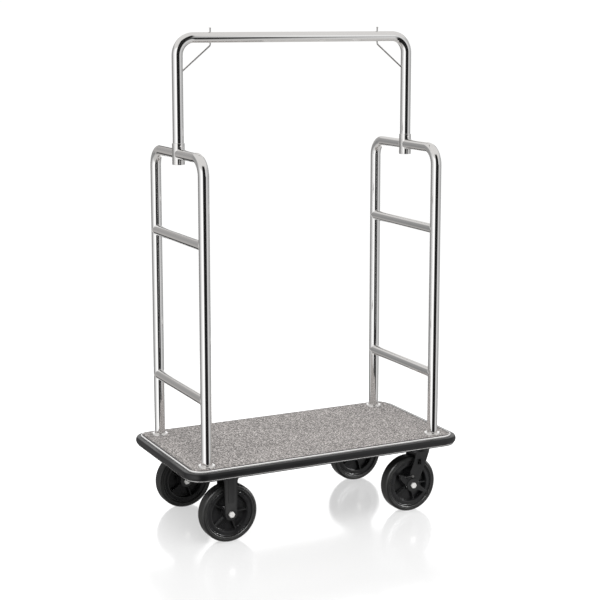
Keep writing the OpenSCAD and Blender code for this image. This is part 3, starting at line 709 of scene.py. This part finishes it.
FORK_PAINT = fork_paint()
ZINC = zinc_plate("zinc_plate")
for side in ("front", "rear"):
    softened(f"rigid_fork_{side}", f"fixed_fork_{side}", FORK_PAINT, "chassis", 0.7 * MM)
    softened(f"swivel_plate_{side}", f"swivel_top_{side}", FORK_PAINT, "chassis", 0.7 * MM)
    swivel = f"caster_right_{side}"
    softened(f"swivel_fork_{side}", f"turning_fork_{side}", FORK_PAINT, swivel, 0.6 * MM)
    softened(f"swivel_axle_bolt_{side}", f"axle_bolt_right_{side}", ZINC, swivel, 0.6 * MM)
    softened(f"swivel_axle_nut_{side}", f"axle_nut_right_{side}", ZINC, swivel, 0.5 * MM)
    coat_nodes(ZINC, f"swivel_spacer_{side}", f"swivel_balls_{side}")
for node in ("rigid_axle_bolts", "rigid_axle_nuts", "plate_bolts", "plate_nuts", "post_bolts", "kingpins"):
    softened(node, f"{node}_plated", ZINC, "chassis", 0.4 * MM)
coat_nodes(ZINC, "rigid_spacers", "socket_screws")
coat_nodes(UNDERFRAME_PAINT, "post_plugs")


# ---- Wheels ----
# Solid rubber tyres moulded on black plastic rims with five ribs on each side. Two ball bearings
# are pressed into each hub, and the wheel turns on a steel spacer round the axle bolt.

def tyre_rubber():
    """Black tyre rubber: matte and finely pitted, with clouded patches of greyer dust."""
    material, tree, shader = new_material("tyre_rubber")
    cloud, height = mottled(tree, 24.0, 520.0)
    feed(tree, shader, "Base Color", cloud,
         [(0.3, (0.0035, 0.0035, 0.0035)), (0.72, (0.0085, 0.0085, 0.008))])
    feed(tree, shader, "Roughness", cloud, [(0.3, 0.38), (0.7, 0.48)])
    bump_from(tree, shader, height, 0.2, 0.15 * MM)
    return material


def rim_plastic():
    """Black moulded plastic: a soft shine and a fine spark-eroded grain."""
    material, tree, shader = new_material("rim_plastic")
    cloud, height = mottled(tree, 30.0, 800.0)
    feed(tree, shader, "Base Color", cloud,
         [(0.3, (0.0025, 0.0025, 0.0027)), (0.7, (0.005, 0.005, 0.0053))])
    feed(tree, shader, "Roughness", cloud, [(0.3, 0.24), (0.7, 0.34)])
    bump_from(tree, shader, height, 0.3, 0.1 * MM)
    return material


TYRE_RUBBER, RIM_PLASTIC = tyre_rubber(), rim_plastic()
RIBS = 5
RING, HUB_R, HUB_BORE = 20 * MM, 24 * MM, 17.5 * MM
FIRST_RIB = {"left": 3, "right": -2}


def tyre_profile(outer, inner, half):
    """The tyre's section: flat sides with a raised ring, round shoulders and a slightly crowned
    tread, as (radius, offset), closed along the rim."""
    shoulder = 10 * MM
    tread = np.linspace(-1, 1, 13) * (half - shoulder)
    crown = outer - 0.35 * MM * (tread / (half - shoulder)) ** 2
    low = arc((outer - shoulder, -half + shoulder), shoulder, -90, -8, 12)
    high = arc((outer - shoulder, half - shoulder), shoulder, 8, 90, 12)
    side = np.array([[0, 1.4], [0.5, 0.9], [1.2, 0.3], [2.0, 0.0], [4.2, 0.0], [4.9, 0.5], [5.5, 0.6],
                     [6.1, 0.5], [6.8, 0.0]]) * MM
    left = np.stack([inner + side[:, 0], -half + side[:, 1]], 1)
    right = np.stack([inner + side[:, 0], half - side[:, 1]], 1)[::-1]
    return np.concatenate([left, low, np.stack([crown, tread], 1), high, right])


def rim_grid(centre, outer, ring_in, half_ring, half_hub, hub_r, bore, first):
    """The moulded rim as one grid round the axle. Down each side the height is the larger of a
    base profile over the radius (hub, web, ring, with small fillets) and five straight ribs, and
    first is the first rib's angle in degrees."""
    web, rib = 4 * MM, half_ring - 3 * MM
    fillet = 1.2 * MM
    r = np.concatenate([[bore, bore + 0.5 * MM], np.linspace(bore + 1 * MM, hub_r - fillet, 4),
                        hub_r + fillet * np.linspace(-0.8, 1.2, 7),
                        np.linspace(hub_r + 3 * MM, ring_in - 3 * MM, 14),
                        ring_in + fillet * np.linspace(-1.2, 0.8, 7),
                        np.linspace(ring_in + 2 * MM, outer - 8 * MM, 5),
                        outer - np.array([7.0, 6.6, 6.2, 5.4, 5.0, 4.6, 3.0, 1.4, 0.8, 0.3, 0.0]) * MM])

    def step(x):
        """Smooth step: 3 x^2 - 2 x^3 between 0 and 1."""
        x = np.clip(x, 0, 1)
        return x * x * (3 - 2 * x)

    base = web + (half_hub - web) * step((hub_r - r) / (2 * fillet) + 0.5) \
        + (half_ring - web) * step((r - ring_in) / (2 * fillet) + 0.5)
    base = np.where(r < bore + 0.3 * MM, base - 0.5 * MM, base)
    base = np.where(r > outer - 1 * MM, base - 0.8 * MM * ((r - outer + 1 * MM) / MM) ** 2, base)
    base = base - 0.9 * MM * step(1 - np.abs(r - outer + 5.8 * MM) / (1.2 * MM))
    across = np.concatenate([np.linspace(-8, -4.2, 4), np.linspace(-3.4, -1.6, 9), [-0.6, 0.6],
                             np.linspace(1.6, 3.4, 9), np.linspace(4.2, 8, 4)]) * MM
    near = np.arcsin(np.clip(across[None, :] / np.maximum(r, 0.02)[:, None], -1, 1))
    gap_from, gap_to = near[:, -1:], near[:, :1] + 2 * math.pi / RIBS
    gap = gap_from + (gap_to - gap_from) * (np.arange(1, 12) / 12)[None, :]
    one = np.concatenate([near, gap], 1)
    angle = np.concatenate([one + 2 * math.pi * k / RIBS for k in range(RIBS)], 1)
    rib_h = np.concatenate([rib * step((2.9 * MM - np.abs(across)) / (0.9 * MM)), np.zeros(11)])
    inside = step((r - hub_r + 2 * MM) / MM) * step((ring_in + 2 * MM - r) / MM)
    height = np.maximum(base[:, None], np.tile(rib_h, RIBS)[None, :] * inside[:, None])
    angle = angle + math.radians(first)

    def side(sign):
        """One side's points: the height along the axle, at each radius and angle."""
        return np.stack([r[:, None] * np.cos(angle), sign * height, r[:, None] * np.sin(angle)], 2)

    points = np.concatenate([side(-1), side(1)[::-1]], 0) + np.asarray(centre)
    verts = points.reshape(-1, 3)
    return verts, grid_faces(points.shape[0], points.shape[1], True, True).tolist()


for end in ("left", "right"):
    for side in ("front", "rear"):
        wheel = f"{end}_{side}"
        body = f"wheel_{wheel}"
        low, high = corner_of(f"tyre_{wheel}")
        centre, outer, half = (low + high) / 2, (high[0] - low[0]) / 2, (high[1] - low[1]) / 2
        rim_low, rim_high = corner_of(f"rim_{wheel}")
        rim_r, hub_half = (rim_high[0] - rim_low[0]) / 2, (rim_high[1] - rim_low[1]) / 2
        new_piece(f"tyre_rubber_{wheel}", [turned(tyre_profile(outer, rim_r, half), centre, "y", 112)],
                  TYRE_RUBBER, body, [f"tyre_{wheel}"])
        rim = rim_grid(centre, rim_r, rim_r - RING, half - 4 * MM, hub_half, HUB_R, HUB_BORE,
                       FIRST_RIB[end])
        new_piece(f"rim_moulding_{wheel}", [rim], RIM_PLASTIC, body, [f"rim_{wheel}"],
                  crease=50)
        softened(f"bearings_{wheel}", f"bearing_rings_{wheel}", ZINC, body, 0.5 * MM)


# ---- Foot brake ----
# A pressed pedal turns on the front caster's axle bolt. A thin wire from a pin on the fork holds
# it over, and a friction ring behind the fork leg is pushed against the hub.

softened("brake_pedal", "pedal_pressing", FORK_PAINT, "brake_pedal", 0.5 * MM)
softened("brake_shoe", "shoe_ring", ZINC, "brake_shoe", 0.3 * MM)
WORN_ZINC = zinc_plate("worn_zinc", 0.32, 0.8)
softened("brake_pin", "wire_pin", WORN_ZINC, "caster_right_front", 0.5 * MM)
softened("brake_wire", "hold_wire", WORN_ZINC, "brake_wire", 0)


# ---- Studio ----
# A pale, slightly glossy floor under a soft white sky, with one large soft lamp above. Two smaller
# lamps light only the tyres and rims, to bring out their round shoulders.

def pale_floor():
    """A white lit table: almost shadowless white with a faint cloudiness and a thin glassy coat,
    which fades out into the white room a few metres away."""
    material = bpy.data.materials.new("pale_floor")
    material.use_nodes = True
    tree = material.node_tree
    tree.nodes.clear()
    cloud, height = mottled(tree, 1.3, 60.0)
    tone = ramp_node(tree, cloud, [(0.3, (0.97, 0.97, 0.97)), (0.7, (1.0, 1.0, 1.0))])
    lit = add_node(tree, "ShaderNodeEmission", {"Color": tone, "Strength": 0.55})
    matte = add_node(tree, "ShaderNodeBsdfDiffuse", {"Color": (0.26, 0.26, 0.26, 1)})
    slant = add_node(tree, "ShaderNodeLayerWeight", {"Blend": 0.5}).outputs["Facing"]
    sheen = ramp_node(tree, slant, [(0.56, 0.10), (0.72, 0.50)])
    glassy = add_node(tree, "ShaderNodeBsdfGlossy", {"Color": sheen, "Roughness": 0.13})
    soft = add_node(tree, "ShaderNodeAddShader", {0: lit.outputs[0], 1: matte.outputs[0]})
    coated = add_node(tree, "ShaderNodeAddShader", {0: soft.outputs[0], 1: glassy.outputs[0]})
    place = add_node(tree, "ShaderNodeTexCoord").outputs["Object"]
    far = add_node(tree, "ShaderNodeVectorMath", {0: place}, operation="LENGTH").outputs["Value"]
    fade = add_node(tree, "ShaderNodeMapRange", {"Value": far, "From Min": 1.0, "From Max": 3.0},
                    interpolation_type="SMOOTHSTEP").outputs[0]
    clear = add_node(tree, "ShaderNodeBsdfTransparent")
    blend = add_node(tree, "ShaderNodeMixShader", {0: fade, 1: coated.outputs[0], 2: clear.outputs[0]})
    out = tree.nodes.new("ShaderNodeOutputMaterial")
    tree.links.new(blend.outputs[0], out.inputs["Surface"])
    return material


mesh = bpy.data.meshes.new("floor")
reach = 6.0
mesh.from_pydata([(-reach, -reach, 0), (reach, -reach, 0), (reach, reach, 0), (-reach, reach, 0)], [],
                 [(0, 1, 2, 3)])
mesh.materials.append(pale_floor())
floor = bpy.data.objects.new("floor", mesh)
bpy.context.scene.collection.objects.link(floor)
floor.visible_glossy = False


def soft_sky():
    """White light from all round for the eye and for matte surfaces. Shiny surfaces see a studio:
    a pale ceiling, bright walls with a dark opening and dimmer corners, and a pale floor."""
    world = bpy.data.worlds.new("soft_sky")
    bpy.context.scene.world = world
    world.use_nodes = True
    tree = world.node_tree
    tree.nodes.clear()
    out = tree.nodes.new("ShaderNodeOutputWorld")
    look = add_node(tree, "ShaderNodeTexCoord").outputs["Generated"]
    axes = add_node(tree, "ShaderNodeSeparateXYZ", {"Vector": look})
    front = math.radians(26.4)
    bearing = calc(tree, "ARCTAN2", axes.outputs["X"], calc(tree, "MULTIPLY", axes.outputs["Y"], -1.0))
    wrapped = calc(tree, "WRAP", calc(tree, "ADD", bearing, front), math.pi, -math.pi)
    share = add_node(tree, "ShaderNodeMapRange", {"Value": wrapped, "From Min": -math.pi,
                                                  "From Max": math.pi}).outputs[0]

    def at(degrees):
        """Place on the ramps of a bearing in degrees from the studio's front."""
        return (degrees + 180) / 360

    rise = axes.outputs["Z"]

    def over(low, high):
        """Smooth share of the way up from low to high, over the look's rise."""
        return add_node(tree, "ShaderNodeMapRange", {"Value": rise, "From Min": low, "From Max": high},
                        interpolation_type="SMOOTHSTEP").outputs[0]

    def blend(factor, a, b):
        """Colour a where factor is 0, colour b where it is 1."""
        return add_node(tree, "ShaderNodeMix", {0: factor, 6: a, 7: b}, data_type="RGBA").outputs[2]

    def tone(r, g, b):
        """A plain colour."""
        return add_node(tree, "ShaderNodeCombineColor", {0: r, 1: g, 2: b}).outputs[0]

    warm, dark = (0.43, 0.415, 0.405), 0.05
    upper = ramp_node(tree, share, [
        (at(-180), 1.0), (at(-164), 1.0), (at(-162), dark), (at(-156), dark), (at(-153), warm),
        (at(-122), 0.26), (at(-100), 0.30), (at(-84), 0.55), (at(-60), 0.80), (at(-40), 1.0), (at(48), 1.0),
        (at(62), 0.62), (at(80), 0.56), (at(92), 0.44), (at(126), 0.40), (at(148), 0.50),
        (at(153), 0.10), (at(160), 0.10), (at(163), 1.0), (at(180), 1.0)])
    lower = ramp_node(tree, share, [
        (at(-180), 1.0), (at(-165), 1.0), (at(-162), dark), (at(-141), dark), (at(-137), warm),
        (at(-122), 0.22), (at(-100), 0.26), (at(-84), 0.52), (at(-60), 0.78), (at(-40), 1.0), (at(48), 1.0),
        (at(62), 0.60), (at(80), 0.54), (at(92), 0.42), (at(126), 0.38), (at(134), 0.44),
        (at(138), 0.10), (at(158), 0.10), (at(163), 1.0), (at(180), 1.0)])
    up_or_down = over(-0.04, 0.05)
    walls = blend(up_or_down, lower, upper)
    room = blend(over(0.34, 0.50), walls, tone(0.64, 0.63, 0.62))
    room = blend(over(-0.45, -0.75), room, tone(0.50, 0.49, 0.48))
    opening = blend(up_or_down,
                    ramp_node(tree, share, [(at(-16), 0.0), (at(-6), 1.0), (at(52), 1.0), (at(60), 0.0)]),
                    ramp_node(tree, share, [(at(-16), 0.0), (at(-6), 1.0), (at(46), 1.0), (at(54), 0.0)]))
    room = blend(calc(tree, "MULTIPLY", over(0.82, 0.70), opening), room, tone(0.012, 0.012, 0.012))
    studio = add_node(tree, "ShaderNodeBackground", {"Color": room, "Strength": 1.12})
    plain = add_node(tree, "ShaderNodeBackground", {"Color": (1, 1, 1, 1), "Strength": 1.03})
    ray = add_node(tree, "ShaderNodeLightPath").outputs["Is Glossy Ray"]
    mixed = add_node(tree, "ShaderNodeMixShader", {0: ray, 1: plain.outputs[0], 2: studio.outputs[0]})
    tree.links.new(mixed.outputs[0], out.inputs["Surface"])


soft_sky()

black_parts = bpy.data.collections.new("black_parts")
for piece in bpy.data.objects:
    if piece.name.startswith(("tyre_rubber", "rim_moulding")):
        black_parts.objects.link(piece)


def soft_lamp(name, place, target, size, watts):
    """A large square area lamp at place, facing target."""
    data = bpy.data.lights.new(name, "AREA")
    data.size = size
    data.energy = watts
    lamp = bpy.data.objects.new(name, data)
    lamp.location = place
    lamp.rotation_euler = (Vector(target) - Vector(place)).to_track_quat("-Z", "Y").to_euler()
    lamp.visible_glossy = False
    bpy.context.scene.collection.objects.link(lamp)


soft_lamp("overhead_lamp", (-1.2, -2.0, 4.2), (0, 0, 0.4), 2.6, 130)
for name, place, size, watts in (("wheel_lamp_high", (-1.45, -2.0, 2.3), 0.8, 150),
                                 ("wheel_lamp_right", (2.2, -1.3, 1.4), 0.6, 120)):
    soft_lamp(name, place, (0, -0.2, 0.1), size, watts)
    lamp = bpy.data.objects[name]
    lamp.visible_glossy = True
    lamp.light_linking.receiver_collection = black_parts

CAMERA_PLACE = (-2.3078, -4.6607, 1.8004)
camera_data = bpy.data.cameras.new("camera")
camera_data.lens = 87.61
camera_data.sensor_width = 36
camera_data.shift_y = -0.075
camera_data.clip_end = 200
camera = bpy.data.objects.new("camera", camera_data)
yaw, pitch = math.radians(26.500), math.radians(9.305)
ahead = Vector((math.sin(yaw) * math.cos(pitch), math.cos(yaw) * math.cos(pitch), -math.sin(pitch)))
right = Vector((math.cos(yaw), -math.sin(yaw), 0))
up = right.cross(ahead)
turn = Matrix((right, up, -ahead)).transposed().to_4x4()
camera.matrix_world = Matrix.Translation(CAMERA_PLACE) @ turn
bpy.context.scene.collection.objects.link(camera)
bpy.context.scene.camera = camera
bpy.context.scene.view_settings.view_transform = "Standard"
